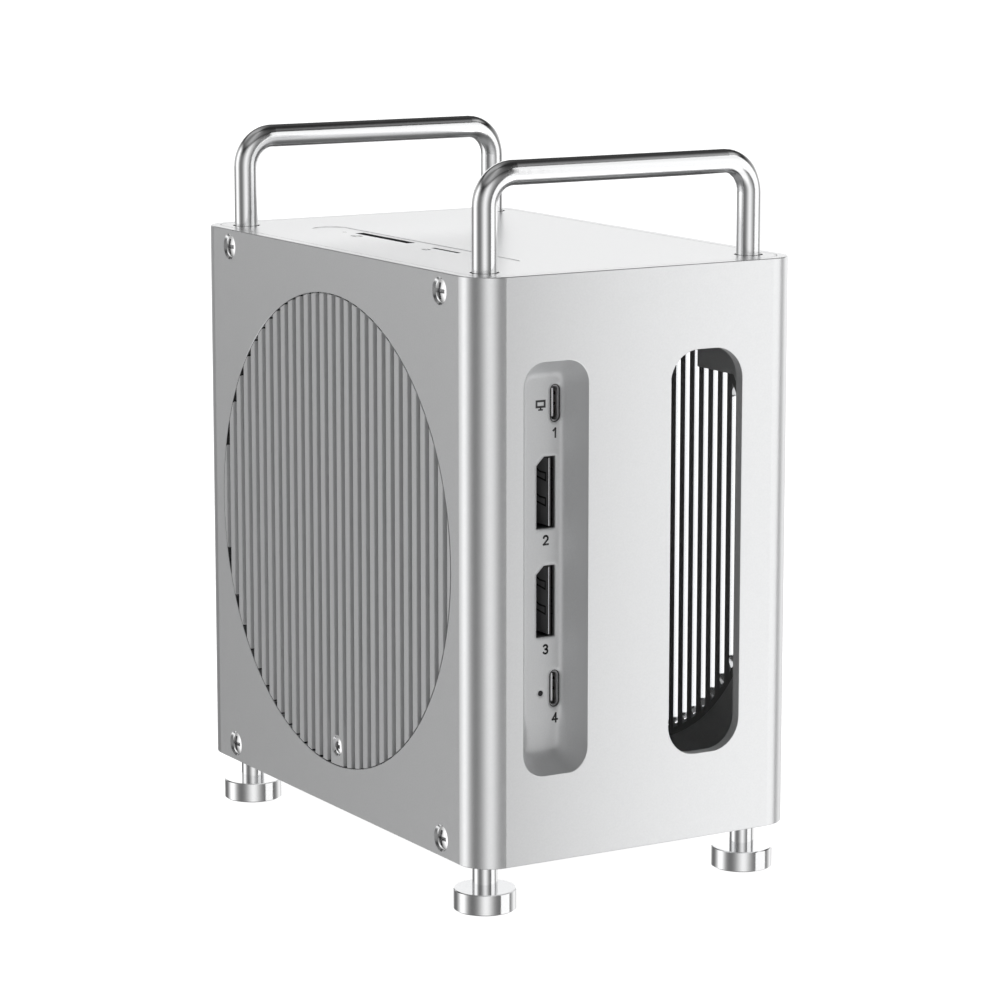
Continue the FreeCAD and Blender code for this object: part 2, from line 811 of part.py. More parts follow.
def pan_screw(seat, outwards, head_diameter, head_height, diameter, length):
    """Flat-headed screw from the seat under its head."""
    head = Part.makeCylinder(head_diameter / 2, head_height, seat, outwards)
    shank = Part.makeCylinder(diameter / 2, length, seat, -outwards)
    top = seat + outwards * head_height
    return head.fuse(shank).cut(cross_slot(top, outwards, head_diameter - driver_margin * 2))


def board_screw(seat, outwards, length):
    return pan_screw(seat, outwards, board_screw_head, board_screw_head_height, board_screw_diameter, length)


def make_right_grille_screw():
    face = V(half_width, grille_screw_y, grille_screw_z)
    return countersunk_screw(face, X, grille_screw_head, grille_screw_diameter, grille_screw_length)


def make_board_screws():
    length = board_thickness + lug_thickness - screw_gap
    spots = [(y, z) for y in lug_spots for z in (lid_lug_screw_z, floor_lug_screw_z)]
    return Part.makeCompound([board_screw(V(board_face, y, z), -X, length) for y, z in spots])


def make_heat_sink_screws():
    length = board_thickness + board_face - sink_foot + sink_screw_bite - screw_gap
    return Part.makeCompound([board_screw(V(board_back, y, z), X, length) for y, z in post_spots])


def make_rod_set_screws():
    length = set_screw_length() - screw_gap
    screws = [Part.makeCylinder(set_screw_diameter / 2, length, set_screw_start(sx, sy), X * sx)
              for sx, sy in corners]
    return Part.makeCompound(screws)


# The whole assembly, one solid or group of solids to a node

right_grille = make_right_grille()
front_handle = make_front_handle()
right_shell_screws = make_right_shell_screws()
right_grille_screw = make_right_grille_screw()
chip_top = board_face - chip_thickness
status_light_tip = V(status_light_x, recess_floor_y, case_middle + status_light_height)
card_light_tip = V(card_light_x, card_light_y, case_top - strip_depth)

nodes = {
    "body_shell": make_body_shell(),
    "top_plate": make_top_plate(),
    "bottom_plate": make_bottom_plate(),
    "port_tray": make_port_tray(),
    "right_grille": right_grille,
    "left_grille": half_turn(right_grille),
    "front_handle": front_handle,
    "rear_handle": half_turn(front_handle),
    "host_port_shell": make_port_shell(host_port_height),
    "host_port_tongue": make_port_tongue(host_port_height),
    "power_port_shell": make_port_shell(power_port_height),
    "power_port_tongue": make_port_tongue(power_port_height),
    "upper_display_shell": make_display_shell(upper_display_height),
    "upper_display_insert": make_display_insert(upper_display_height),
    "lower_display_shell": make_display_shell(lower_display_height),
    "lower_display_insert": make_display_insert(lower_display_height),
    "status_light_pipe": make_light_pipe(status_light_tip, Y, status_light_diameter / 2, tray_floor),
    "card_light_pipe": make_light_pipe(card_light_tip, -Z, card_light_diameter / 2, strip_floor),
    "main_board": make_main_board(),
    "card_socket": make_socket(card_x, card_y, card_slot_width, card_slot_length, card_rise,
                               card_socket_depth),
    "micro_card_socket": make_socket(micro_x, micro_y, micro_slot_width, micro_slot_length, micro_rise,
                                     micro_socket_depth),
    "controller_chip": slab(chip_size, chip_top, board_face),
    "thermal_pad": slab(chip_size, sink_foot, chip_top),
    "heat_sink": make_heat_sink(),
    "power_inductors": make_power_inductors(),
    "power_capacitors": make_power_capacitors(),
    "display_chip": make_small_chip(display_chip_size, display_chip_inset, display_chip_height),
    "hub_chip": make_small_chip(hub_chip_size, hub_chip_inset, hub_chip_height),
    "card_chip": make_small_chip(card_chip_size, card_chip_inset, card_chip_height),
    "heat_sink_screws": make_heat_sink_screws(),
    "board_screws": make_board_screws(),
    "rod_set_screws": make_rod_set_screws(),
    "right_shell_screws": right_shell_screws,
    "left_shell_screws": half_turn(right_shell_screws),
    "right_grille_screw": right_grille_screw,
    "left_grille_screw": half_turn(right_grille_screw),
}
for sx, x_name in ((-1, "left"), (1, "right")):
    for sy, y_name in ((-1, "front"), (1, "rear")):
        nodes["foot_" + y_name + "_" + x_name] = make_foot(sx, sy)
        nodes["foot_pad_" + y_name + "_" + x_name] = make_foot_pad(sx, sy)

os.makedirs("parts", exist_ok=True)
for name, shape in nodes.items():
    shape.exportStep("parts/" + name + ".step")
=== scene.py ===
import json
import math
import random

import bmesh
import bpy
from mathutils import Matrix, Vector


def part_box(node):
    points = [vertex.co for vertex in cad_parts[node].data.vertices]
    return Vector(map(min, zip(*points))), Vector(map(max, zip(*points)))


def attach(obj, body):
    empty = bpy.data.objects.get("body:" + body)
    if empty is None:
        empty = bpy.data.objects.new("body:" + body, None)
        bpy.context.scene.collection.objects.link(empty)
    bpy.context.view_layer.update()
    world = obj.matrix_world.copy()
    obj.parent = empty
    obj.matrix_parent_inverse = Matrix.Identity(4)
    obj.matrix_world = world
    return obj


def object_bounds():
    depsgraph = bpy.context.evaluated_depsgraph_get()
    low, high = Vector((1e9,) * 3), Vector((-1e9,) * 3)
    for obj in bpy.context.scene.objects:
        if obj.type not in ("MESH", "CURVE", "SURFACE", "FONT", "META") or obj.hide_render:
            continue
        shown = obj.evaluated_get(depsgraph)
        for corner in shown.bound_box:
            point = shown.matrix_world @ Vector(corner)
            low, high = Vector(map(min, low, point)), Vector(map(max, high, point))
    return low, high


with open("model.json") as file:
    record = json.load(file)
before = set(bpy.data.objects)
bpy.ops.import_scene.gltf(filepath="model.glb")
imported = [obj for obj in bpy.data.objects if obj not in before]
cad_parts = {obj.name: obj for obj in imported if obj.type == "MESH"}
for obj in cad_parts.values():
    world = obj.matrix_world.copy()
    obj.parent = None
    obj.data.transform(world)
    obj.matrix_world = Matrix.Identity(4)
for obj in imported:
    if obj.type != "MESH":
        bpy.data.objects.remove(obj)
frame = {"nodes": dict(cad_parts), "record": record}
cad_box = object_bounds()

# Looks of the docking station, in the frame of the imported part: +Z is up, the ports face -Y, and the origin
# is on the floor under the middle of the case. Blender works in metres. The small pieces are drawn in
# millimetres, and Shape.build turns them into metres.

MM = 0.001
scene = bpy.context.scene
nodes = frame["nodes"]

# Camera, at the photograph's viewpoint
CAMERA_PLACE = Vector((-435.55, -738.39, 234.87)) * MM
CAMERA_HEADING = math.radians(-30.72)
CAMERA_PITCH = math.radians(10.25)
CAMERA_LENS = 133.37
CAMERA_SENSOR = 36.0
HALF_PIXEL = 0.0005

# Studio: strip lights that stand round the object. Each has its heading, counter-clockwise from +X, its
# half-width, and its lowest and highest elevation, all in degrees, and then its level.
STUDIO_LIGHTS = {
    "left_strip": (149.0, 21.0, -80.0, 34.0, 1.22),
    "front_strip": (244.0, 26.0, -80.0, 34.0, 0.88),
    "back_wall": (55.0, 45.0, -4.0, 24.0, 1.15),
    "back_low": (59.0, 20.0, -40.0, 0.0, 1.2),
    "right_low": (14.0, 21.0, -60.0, 10.0, 0.9),
    "right_high": (342.0, 22.0, 40.0, 54.0, 0.6),
    "back_high": (110.0, 45.0, 42.0, 90.0, 0.4),
    "left_high": (225.0, 45.0, 42.0, 90.0, 0.4),
    "front_floor": (300.0, 40.0, -80.0, -30.0, 1.1),
}
STUDIO_SOFTNESS = 8.0    # degrees on either side of a light's lowest and highest elevation
STUDIO_BASE = 0.02
STUDIO_FILL = (-88.0, 22.0, 0.12)    # faint light from every heading: lowest and highest elevation, level
BACKDROP_LEVEL = 1.0
WHITE = (1.0, 1.0, 1.0, 1.0)
PANEL_PLACE = Vector((292.0, -320.0, 140.0)) * MM
PANEL_SIZE = (0.31, 0.74)
PANEL_POWER = 0.72
SUN_STRENGTH = 3.9
SUN_ANGLE = 70.0
FLOOR_SIDE = 40.0
FLOOR_GLOW = 0.93
FLOOR_GRAIN = 3.0
FLOOR_TONES = ((0.24, 0.24, 0.24), (0.26, 0.26, 0.26))

# Textures: the part of a noise's range that its values use, the detail and roughness of the fine ones, and
# the scales of the blast's speckle and patches
NOISE_RANGE = (0.3, 0.7)
FINE_DETAIL = 3.0
FINE_ROUGHNESS = 0.6
SPECKLE_SCALE = 2600.0
PATCH_SCALE = 700.0
PATCH_CHANGE = 0.015

# Case: fine outer faces, and what lies deeper than the outline
CASE_TONES = ((0.785, 0.79, 0.795), (0.815, 0.82, 0.825))
CASE_CORNER = 7.5 * MM
RIM_DEPTH = 0.6 * MM
CUT_DEPTHS = (0.06 * MM, 0.16 * MM)
INNER_DEPTH = 2.3 * MM
FACE_ROUGHNESS = 0.305
CUT_ROUGHNESS = 0.8
SINK_ROUGHNESS = 0.16
INNER_ROUGHNESS = 0.7

# Port strip: its floor's place in millimetres, its blast, and the softening of the creases round its floor
RECESS_FLOOR_Y = -60.0
TRAY_TONES = ((0.655, 0.66, 0.665), (0.685, 0.69, 0.695))
TRAY_TONE = (0.67, 0.675, 0.68)
TRAY_ROUGHNESS = 0.58
TRAY_CHANGE = 0.01
TRAY_PATCH_SCALE = 90.0
TRAY_SOFTENING = 1.3 * MM
TRAY_END_SOFTENING = 3.5 * MM
TRAY_MIDDLE = 80.75 * MM
TRAY_ENDS = (35.75 * MM, 40.75 * MM)
TRAY_COVE = ((RECESS_FLOOR_Y - 2.4) * MM, (RECESS_FLOOR_Y - 1.2) * MM)
BEVEL_SAMPLES = 8

# Grilles: blasted faces, the gaps' blasted and bright walls, and backs painted dark as shade. The gaps'
# blasted walls have a darker tone that is partly painted shade. The blast reaches into the gaps by one depth
# on the left and another on the right, which paints the left gaps darker than the right ones.
GRILLE_TONES = ((0.80, 0.805, 0.81), (0.84, 0.845, 0.85))
# Gap walls: the cutter's bright tone, and the blast's darker tone, which is partly painted shade
GAP_FINISH_AND_SHADE_TONES = ((0.92, 0.925, 0.93), (0.76, 0.765, 0.77))
GAP_MOUTH = (0.08 * MM, 0.2 * MM)
GAP_BLAST_AND_SHADE_DEPTHS = (1.4 * MM, 0.5 * MM)
GAP_ROUGHNESS = 0.75
CUTTER_ROUGHNESS = 0.1
# Backs painted dark as shade
BACK_SHADE_TONE = (0.45, 0.452, 0.455)
BACK_ROUGHNESS = 0.8
FACING = 0.5

# Rods, feet and screws
ROD_TONES = ((0.84, 0.845, 0.85), (0.90, 0.90, 0.905))
ROD_ROUGHNESS = (0.10, 0.17)
ROD_STRETCH = (1.0, 1.0, 0.03)
ROD_SCALE = 1800.0
FOOT_TONES = ((0.83, 0.835, 0.84), (0.89, 0.89, 0.895))
FOOT_ROUGHNESS = (0.09, 0.15)
FOOT_SCALE = 1500.0
TOOL_RING_PITCH = 0.22 * MM
TOOL_RING_RELIEF = (0.12, 0.004 * MM)
SCREW_TONES = ((0.84, 0.84, 0.84), (0.92, 0.92, 0.92))
SCREW_ROUGHNESS = (0.06, 0.12)
SCREW_SCALE = 1500.0
# Driver's recess in the screws, painted dark grey as shade
DRIVER_SHADE_TONE = (0.38, 0.38, 0.385)
DRIVER_ROUGHNESS = 0.45
DRIVER_DEPTHS = (0.57 * MM, 0.67 * MM)
DRIVER_LIMIT = 2.0 * MM

# Board
MASK_TONES = ((0.010, 0.011, 0.013), (0.026, 0.028, 0.031))
MASK_ROUGHNESS = (0.28, 0.4)
MASK_SCALE = 500.0
TRACKS = {"Scale": 260.0, "Mortar Size": 0.06, "Brick Width": 1.4, "Row Height": 0.35}
TRACK_OFFSET = 0.37
TRACK_RELIEF = (0.3, 0.03 * MM)
PLATING_TONE = (0.55, 0.42, 0.2)
HOLE_SCALE = 330.0
HOLE_RADIUS = 0.12

# Moulded, printed and fired surfaces: darker and lighter tone, least and greatest roughness, scale of the
# grain, its relief in millimetres, specular level
MATT_FINISHES = {
    "pad_rubber": ((0.025, 0.025, 0.026), (0.05, 0.05, 0.05), 0.7, 0.9, 1400.0, 0.05, 0.5),
    "port_plastic": ((0.012, 0.012, 0.013), (0.022, 0.022, 0.023), 0.35, 0.5, 1800.0, 0.02, 0.5),
    "light_plastic": ((0.008, 0.008, 0.009), (0.014, 0.014, 0.015), 0.1, 0.16, 900.0, 0.005, 0.15),
    "chip_epoxy": ((0.02, 0.02, 0.021), (0.035, 0.035, 0.036), 0.5, 0.7, 2600.0, 0.02, 0.5),
    "thermal_rubber": ((0.36, 0.41, 0.46), (0.46, 0.51, 0.56), 0.7, 0.9, 900.0, 0.05, 0.5),
    "tongue_grey": ((0.07, 0.07, 0.072), (0.10, 0.10, 0.103), 0.5, 0.65, 1500.0, 0.02, 0.5),
    "mark_ink": ((0.015, 0.015, 0.016), (0.03, 0.03, 0.031), 0.5, 0.65, 2200.0, 0.003, 0.5),
    # Slits round the display springs, painted black as shade
    "slit_shade_black": ((0.003, 0.003, 0.003), (0.006, 0.006, 0.006), 0.6, 0.8, 1800.0, 0.005, 0.1),
    "ceramic": ((0.22, 0.15, 0.1), (0.3, 0.21, 0.14), 0.4, 0.55, 1800.0, 0.01, 0.5),
}
MATT_STRENGTH = 0.25

# Extruded, drawn and plated metals: darker and lighter tone, least and greatest roughness, stretch of the
# lines
ALONG_Y = (1.0, 0.05, 1.0)
ALONG_Z = (1.0, 1.0, 0.02)
DRAWN_FINISHES = {
    "port_metal": ((0.42, 0.425, 0.43), (0.58, 0.585, 0.59), 0.25, 0.4, ALONG_Y),
    "sink_metal": ((0.52, 0.525, 0.53), (0.66, 0.665, 0.67), 0.3, 0.45, ALONG_Z),
    "sleeve_metal": ((0.7, 0.7, 0.71), (0.82, 0.82, 0.83), 0.4, 0.55, ALONG_Y),
    "bright_edge": ((0.82, 0.82, 0.83), (0.93, 0.93, 0.94), 0.3, 0.45, ALONG_Y),
    "contact_gold": ((0.75, 0.55, 0.25), (0.85, 0.66, 0.34), 0.2, 0.32, ALONG_Y),
}
DRAWN_SCALE = 2400.0
DRAWN_RELIEF = (0.15, 0.01 * MM)

# From here on everything is in millimetres. Places are in the part's frame, heights are counted out of the
# face that a piece is drawn on, and depths into the part from the port strip's floor or the lid's strip.

# Small ports: outlines are width and length
PORT_X = -18.65
SMALL_PORT_Z = (112.45, 48.85)
# Dark rings of painted shade in the gaps between the strip's openings and the sleeves
PORT_GAP_SHADE_OUTER = (2.63, 8.38)
PORT_GAP_SHADE_INNER = (2.16, 7.91)
PORT_GAP_SHADE_HEIGHTS = (-2.0, -0.03)
SLEEVE_OUTER = (2.15, 7.9)
SLEEVE_INNER = (1.83, 7.58)
SLEEVE_HEIGHTS = (-6.5, -0.3)
TONGUE_EDGE = (0.43, 6.3)
TONGUE_EDGE_SHIFT = 0.115
TONGUE_EDGE_HEIGHTS = (-1.6, -1.36)
# Latch windows in the sleeves, painted dark as shade instead of cut through
WINDOW_SIZE = (1.0, 0.7)
WINDOW_DEPTH = 1.9
WINDOW_RISES = (1.9, -0.4)
WINDOW_HEIGHTS = (-0.005, 0.015)
CONTACT_COUNT = 12
CONTACT_PITCH = 0.5
CONTACT_SIZE = (2.4, 0.26)
CONTACT_DEPTH = 3.2
CONTACT_FACES = (-0.36, 0.34)
CONTACT_HEIGHT = 0.02

# Display sockets
DISPLAY_TONGUE_X = -20.095
DISPLAY_TONGUE_LENGTH = 15.0
DISPLAY_Z = (92.85, 68.65)
DISPLAY_EDGE_SHIFT = 0.165
DISPLAY_EDGE_WIDTH = 0.16
DISPLAY_EDGE_HEIGHTS = (-0.45, -0.37)
CHEEK_WIDTH = 6.6
CHEEK_DEPTH = 3.9
CHEEK_HEIGHTS = (-0.01, 0.02)
# Outlines of the springs: slits painted black as shade
SPRING_SPANS = ((2.4, 4.1), (-3.2, -1.5))
SPRING_FRONT = 1.5
SPRING_BEND = 3.9
SPRING_BACK = 7.0
SPRING_TOP_RISE = 1.05
SPRING_FOOT_RISE = 0.65
SPRING_STROKE = 0.36
SPRING_HEIGHT = 0.04

# Printed marks: a plain screen, numerals, and card outlines with one cut corner, as place, width and length
INK = 0.012
SCREEN_PLACE = (-22.32, 112.5)
SCREEN_OUTER = (2.55, 1.75)
SCREEN_INNER = (1.58, 0.8)
SCREEN_STEM = ((-22.32, 111.62), (-22.32, 111.35))
SCREEN_STEM_STROKE = 0.4
SCREEN_BASE = ((-22.75, 111.2), (-21.9, 111.2))
NUMERAL_PLACES = ((-18.6, 105.9), (-20.9, 82.3), (-20.9, 57.9), (-18.5, 42.2))
NUMERAL_MIDDLE = (0.33, 0.5)
NUMERAL_HEIGHT = 1.9
NUMERAL_STROKE = 0.42
CARD_MARKS = ((-22.6, 22.5, 1.7, 2.4), (-22.6, -10.5, 1.2, 1.7))
CARD_CORNER = 0.35
THIN_STROKE = 0.34

# Card slots in the lid: place, width and length
LID_STRIP_Z = 141.4
CARD_SLOTS = ((-18.925, 15.5, 2.4, 25.2), (-19.625, -14.3, 1.2, 12.1))
# Dark rings of painted shade that line the card slots' walls: gap to the walls, rim width, depths
SLOT_SHADE_GAP = 0.04
SLOT_SHADE_RIM = 0.4
SLOT_SHADE_DEPTHS = (2.5, 0.03)

# Chips on the board's right face
BOARD_RIGHT_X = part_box("main_board")[1].x / MM
BOARD_NODES = ("main_board", "power_inductors", "power_capacitors", "display_chip", "hub_chip", "card_chip",
               "board_screws", "heat_sink_screws", "top_plate", "bottom_plate")
BARE_TOLERANCE = 0.05
CHIP_SEED = 11
CHIP_SHARE = 0.45
EVEN_CHANCE = 0.5
CHIP_LENGTH = 1.1
CHIP_WIDTH = 0.8
CHIP_HEIGHT = 0.45
CHIP_END = 0.25
CHIP_END_RISE = 0.03
CHIP_ROOM = 1.3
CHIP_MARGIN = 6.0
CHIP_STEP = (3.4, 3.1)


def set_camera():
    data = bpy.data.cameras.new("camera")
    data.lens = CAMERA_LENS
    data.sensor_width = CAMERA_SENSOR
    data.shift_x = -HALF_PIXEL
    data.shift_y = HALF_PIXEL
    camera = bpy.data.objects.new("camera", data)
    back = Vector((
        math.sin(CAMERA_HEADING) * math.cos(CAMERA_PITCH),
        -math.cos(CAMERA_HEADING) * math.cos(CAMERA_PITCH),
        math.sin(CAMERA_PITCH),
    ))
    camera.location = CAMERA_PLACE
    camera.rotation_euler = back.to_track_quat("Z", "Y").to_euler()
    scene.collection.objects.link(camera)
    scene.camera = camera


# Small helpers for node trees

class Tree:
    """Adds nodes to a node tree and links them, with plain numbers set on sockets that aren't linked."""

    def __init__(self, tree):
        self.tree = tree
        tree.nodes.clear()

    def add(self, kind, inputs=None, **settings):
        node = self.tree.nodes.new(kind)
        for name, value in settings.items():
            setattr(node, name, value)
        for key, value in (inputs or {}).items():
            socket = node.inputs[key]
            if isinstance(value, bpy.types.NodeSocket):
                self.tree.links.new(value, socket)
            else:
                socket.default_value = value
        return node

    def math(self, operation, first, second=0.0, third=0.0):
        return self.add("ShaderNodeMath", {0: first, 1: second, 2: third}, operation=operation).outputs[0]

    def smooth_step(self, value, low, high):
        node = self.add("ShaderNodeMapRange", {"Value": value, "From Min": low, "From Max": high},
                        interpolation_type="SMOOTHSTEP")
        return node.outputs["Result"]

    def spread(self, value, low, high, to_low, to_high):
        node = self.add("ShaderNodeMapRange", {
            "Value": value, "From Min": low, "From Max": high, "To Min": to_low, "To Max": to_high})
        return node.outputs["Result"]

    def vary(self, noise, low, high):
        """Number that follows a noise from a low to a high value."""
        return self.spread(noise, *NOISE_RANGE, low, high)

    def choose(self, flag, without, within):
        """One of two plain numbers, by a flag that is nought or one."""
        return self.spread(flag, 0.0, 1.0, without, within)

    def mix(self, factor, first, second):
        return self.add("ShaderNodeMix", {"Factor": factor, "A": first, "B": second}).outputs[0]

    def mix_tones(self, factor, first, second):
        """Colour between two colours, each of them a socket or a plain tone."""
        first, second = (tone if isinstance(tone, bpy.types.NodeSocket) else (*tone, 1.0)
                         for tone in (first, second))
        node = self.add("ShaderNodeMix", {"Factor": factor, 6: first, 7: second}, data_type="RGBA")
        return node.outputs[2]

    def mix_vectors(self, factor, first, second):
        node = self.add("ShaderNodeMix", {"Factor": factor, 4: first, 5: second}, data_type="VECTOR")
        return node.outputs[1]

    def place(self, scale=(1.0, 1.0, 1.0)):
        """Position on the object in metres, stretched along each axis."""
        coords = self.add("ShaderNodeTexCoord").outputs["Object"]
        return self.add("ShaderNodeMapping", {"Vector": coords, "Scale": scale}).outputs["Vector"]

    def axes(self, vector):
        return self.add("ShaderNodeSeparateXYZ", {"Vector": vector}).outputs

    def flat(self, x, y):
        return self.add("ShaderNodeCombineXYZ", {"X": x, "Y": y}).outputs[0]

    def length(self, vector):
        return self.add("ShaderNodeVectorMath", {0: vector}, operation="LENGTH").outputs["Value"]

    def noise(self, vector, scale, detail=2.0, roughness=0.5):
        node = self.add("ShaderNodeTexNoise", {
            "Vector": vector, "Scale": scale, "Detail": detail, "Roughness": roughness})
        return node.outputs["Fac"]

    def fine_noise(self, vector, scale):
        return self.noise(vector, scale, FINE_DETAIL, FINE_ROUGHNESS)

    def bump(self, height, strength, distance):
        return self.add("ShaderNodeBump", {
            "Height": height, "Strength": strength, "Distance": distance}).outputs["Normal"]


# Studio

def direction(heading):
    return Vector((math.cos(math.radians(heading)), math.sin(math.radians(heading)), 0.0))


def height_band(tree, height, low, high):
    """One between two elevations and nought beyond them, with soft ends."""
    edges = [math.sin(math.radians(max(-90.0, min(90.0, angle)))) for angle in (
        low - STUDIO_SOFTNESS, low + STUDIO_SOFTNESS, high - STUDIO_SOFTNESS, high + STUDIO_SOFTNESS)]
    above = tree.smooth_step(height, edges[0], edges[1])
    below = tree.math("SUBTRACT", 1.0, tree.smooth_step(height, edges[2], edges[3]))
    return tree.math("MULTIPLY", above, below)


def strip_light(tree, level_ray, height, heading, half_width, low, high, level):
    """Radiance of one strip light in the direction of a ray, soft at its sides and ends."""
    towards = tree.add("ShaderNodeVectorMath", {0: level_ray, 1: direction(heading)}, operation="DOT_PRODUCT")
    sharpness = 1.0 / (1.0 - math.cos(math.radians(half_width)))
    away = tree.math("SUBTRACT", towards.outputs["Value"], 1.0)
    across = tree.math("EXPONENT", tree.math("MULTIPLY", away, sharpness))
    window = tree.math("MULTIPLY", height_band(tree, height, low, high), across)
    return tree.math("MULTIPLY", window, level)


def set_world():
    """White backdrop for the camera, and a ring of strip lights for everything else."""
    world = bpy.data.worlds.new("studio")
    world.use_nodes = True
    tree = Tree(world.node_tree)
    ray = tree.axes(tree.add("ShaderNodeTexCoord").outputs["Generated"])
    flat = tree.flat(ray["X"], ray["Y"])
    level_ray = tree.add("ShaderNodeVectorMath", {0: flat}, operation="NORMALIZE").outputs["Vector"]
    height = ray["Z"]
    low, high, level = STUDIO_FILL
    total = tree.math("MULTIPLY_ADD", height_band(tree, height, low, high), level, STUDIO_BASE)
    for light in STUDIO_LIGHTS.values():
        total = tree.math("ADD", strip_light(tree, level_ray, height, *light), total)
    seen = tree.add("ShaderNodeLightPath").outputs["Is Camera Ray"]
    studio = tree.add("ShaderNodeBackground", {"Color": WHITE, "Strength": total})
    backdrop = tree.add("ShaderNodeBackground", {"Color": WHITE, "Strength": BACKDROP_LEVEL})
    mix = tree.add("ShaderNodeMixShader", {0: seen, 1: studio.outputs[0], 2: backdrop.outputs[0]})
    tree.add("ShaderNodeOutputWorld", {"Surface": mix.outputs[0]})
    scene.world = world


def add_panel():
    """Tall panel at the front right, which faces the case's upright axis."""
    data = bpy.data.lights.new("right_panel", "AREA")
    data.shape = "RECTANGLE"
    data.size, data.size_y = PANEL_SIZE
    data.energy = PANEL_POWER
    panel = bpy.data.objects.new("right_panel", data)
    panel.location = PANEL_PLACE
    aim = Vector((0.0, 0.0, PANEL_PLACE.z))
    panel.rotation_euler = (PANEL_PLACE - aim).to_track_quat("Z", "Y").to_euler()
    panel.visible_camera = False
    scene.collection.objects.link(panel)


def add_sun():
    """Soft light from above for the floor and the matt pieces."""
    data = bpy.data.lights.new("floor_light", "SUN")
    data.energy = SUN_STRENGTH
    data.angle = math.radians(SUN_ANGLE)
    sun = bpy.data.objects.new("floor_light", data)
    sun.visible_glossy = False
    scene.collection.objects.link(sun)


def floor_material():
    """Pale sweep that glows a little, so that the shadow on it stays faint."""
    material = bpy.data.materials.new("pale_floor")
    material.use_nodes = True
    tree = Tree(material.node_tree)
    tone = tree.mix_tones(tree.noise(tree.place(), FLOOR_GRAIN), *FLOOR_TONES)
    matt = tree.add("ShaderNodeBsdfDiffuse", {"Color": tone})
    glow = tree.add("ShaderNodeEmission", {"Strength": FLOOR_GLOW})
    both = tree.add("ShaderNodeAddShader", {0: matt.outputs[0], 1: glow.outputs[0]})
    tree.add("ShaderNodeOutputMaterial", {"Surface": both.outputs[0]})
    return material


def add_floor():
    mesh = bpy.data.meshes.new("floor")
    corners = [(x, y, 0.0) for x, y in rectangle(0.0, 0.0, FLOOR_SIDE, FLOOR_SIDE)]
    mesh.from_pydata(corners, [], [(0, 1, 2, 3)])
    floor = bpy.data.objects.new("floor", mesh)
    floor.location.z = cad_box[0].z
    floor.visible_glossy = False
    floor.visible_shadow = False
    mesh.materials.append(floor_material())
    scene.collection.objects.link(floor)


# Materials

def principled(name, metallic=0.0, **sockets):
    """New material with one principled shader; returns it, its tree and the shader."""
    material = bpy.data.materials.new(name)
    material.use_nodes = True
    tree = Tree(material.node_tree)
    inputs = {"Metallic": metallic}
    inputs.update({key.replace("_", " "): value for key, value in sockets.items()})
    shader = tree.add("ShaderNodeBsdfPrincipled", inputs)
    tree.add("ShaderNodeOutputMaterial", {"Surface": shader.outputs[0]})
    return material, tree, shader


def connect(tree, shader, **sockets):
    for name, value in sockets.items():
        tree.tree.links.new(value, shader.inputs[name.replace("_", " ")])


def blasted(tree, place, tones, roughness):
    """Tone and roughness of fine bead-blasted, anodised aluminium, each with a faint speckle."""
    speckle = tree.noise(place, SPECKLE_SCALE, roughness=FINE_ROUGHNESS)
    change = tree.vary(tree.fine_noise(place, PATCH_SCALE), -PATCH_CHANGE, PATCH_CHANGE)
    return tree.mix_tones(tree.vary(speckle, 0.0, 1.0), *tones), tree.math("ADD", roughness, change)


def case_metal():
    """Fine outer faces. Deeper than the outline, a coarse vent wall, the port strip's blast, bright
    countersinks and dull inner faces."""
    material, tree, shader = principled("case_metal", metallic=1.0)
    low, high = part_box("body_shell")
    middle = (low + high) / 2
    place = tree.place()
    axes = tree.axes(place)
    beyond = [
        tree.math("MAXIMUM", tree.math("SUBTRACT", tree.math("ABSOLUTE", axes[axis]), limit), 0.0)
        for axis, limit in (("X", high.x - CASE_CORNER), ("Y", high.y - CASE_CORNER))
    ]
    depth = tree.math("SUBTRACT", CASE_CORNER, tree.length(tree.flat(*beyond)))
    level = tree.math("ABSOLUTE", tree.math("SUBTRACT", axes["Z"], middle.z))
    between = tree.math("LESS_THAN", level, high.z - middle.z - RIM_DEPTH)
    cut = tree.math("MULTIPLY", tree.smooth_step(depth, *CUT_DEPTHS), between)
    in_front = tree.math("LESS_THAN", axes["Y"], low.y + CASE_CORNER)
    in_strip = tree.math("LESS_THAN", axes["X"], 0.0)
    front_cut = tree.choose(in_strip, CUT_ROUGHNESS, TRAY_ROUGHNESS)
    side_cut = tree.choose(tree.math("GREATER_THAN", depth, INNER_DEPTH), SINK_ROUGHNESS, INNER_ROUGHNESS)
    finish = tree.mix(cut, FACE_ROUGHNESS, tree.mix(in_front, side_cut, front_cut))
    tone, roughness = blasted(tree, place, CASE_TONES, finish)
    strip_cut = tree.math("MULTIPLY", cut, tree.math("MULTIPLY", in_front, in_strip))
    connect(tree, shader, Base_Color=tree.mix_tones(strip_cut, tone, TRAY_TONE), Roughness=roughness)
    return material


def tray_metal():
    """The port strip's blast, with the creases round the strip's floor softened, most at its two ends."""
    material, tree, shader = principled("tray_metal", metallic=1.0)
    place = tree.place()
    axes = tree.axes(place)
    patches = tree.noise(place, TRAY_PATCH_SCALE)
    finish = tree.vary(patches, TRAY_ROUGHNESS - TRAY_CHANGE, TRAY_ROUGHNESS + TRAY_CHANGE)
    tone, roughness = blasted(tree, place, TRAY_TONES, finish)
    near_floor = tree.smooth_step(axes["Y"], *TRAY_COVE)
    from_middle = tree.math("ABSOLUTE", tree.math("SUBTRACT", axes["Z"], TRAY_MIDDLE))
    radius = tree.spread(from_middle, *TRAY_ENDS, TRAY_SOFTENING, TRAY_END_SOFTENING)
    soft = tree.add("ShaderNodeBevel", {"Radius": radius}, samples=BEVEL_SAMPLES).outputs["Normal"]
    plain = tree.add("ShaderNodeNewGeometry").outputs["Normal"]
    connect(tree, shader,
            Base_Color=tone,
            Roughness=roughness,
            Normal=tree.mix_vectors(near_floor, plain, soft))
    return material


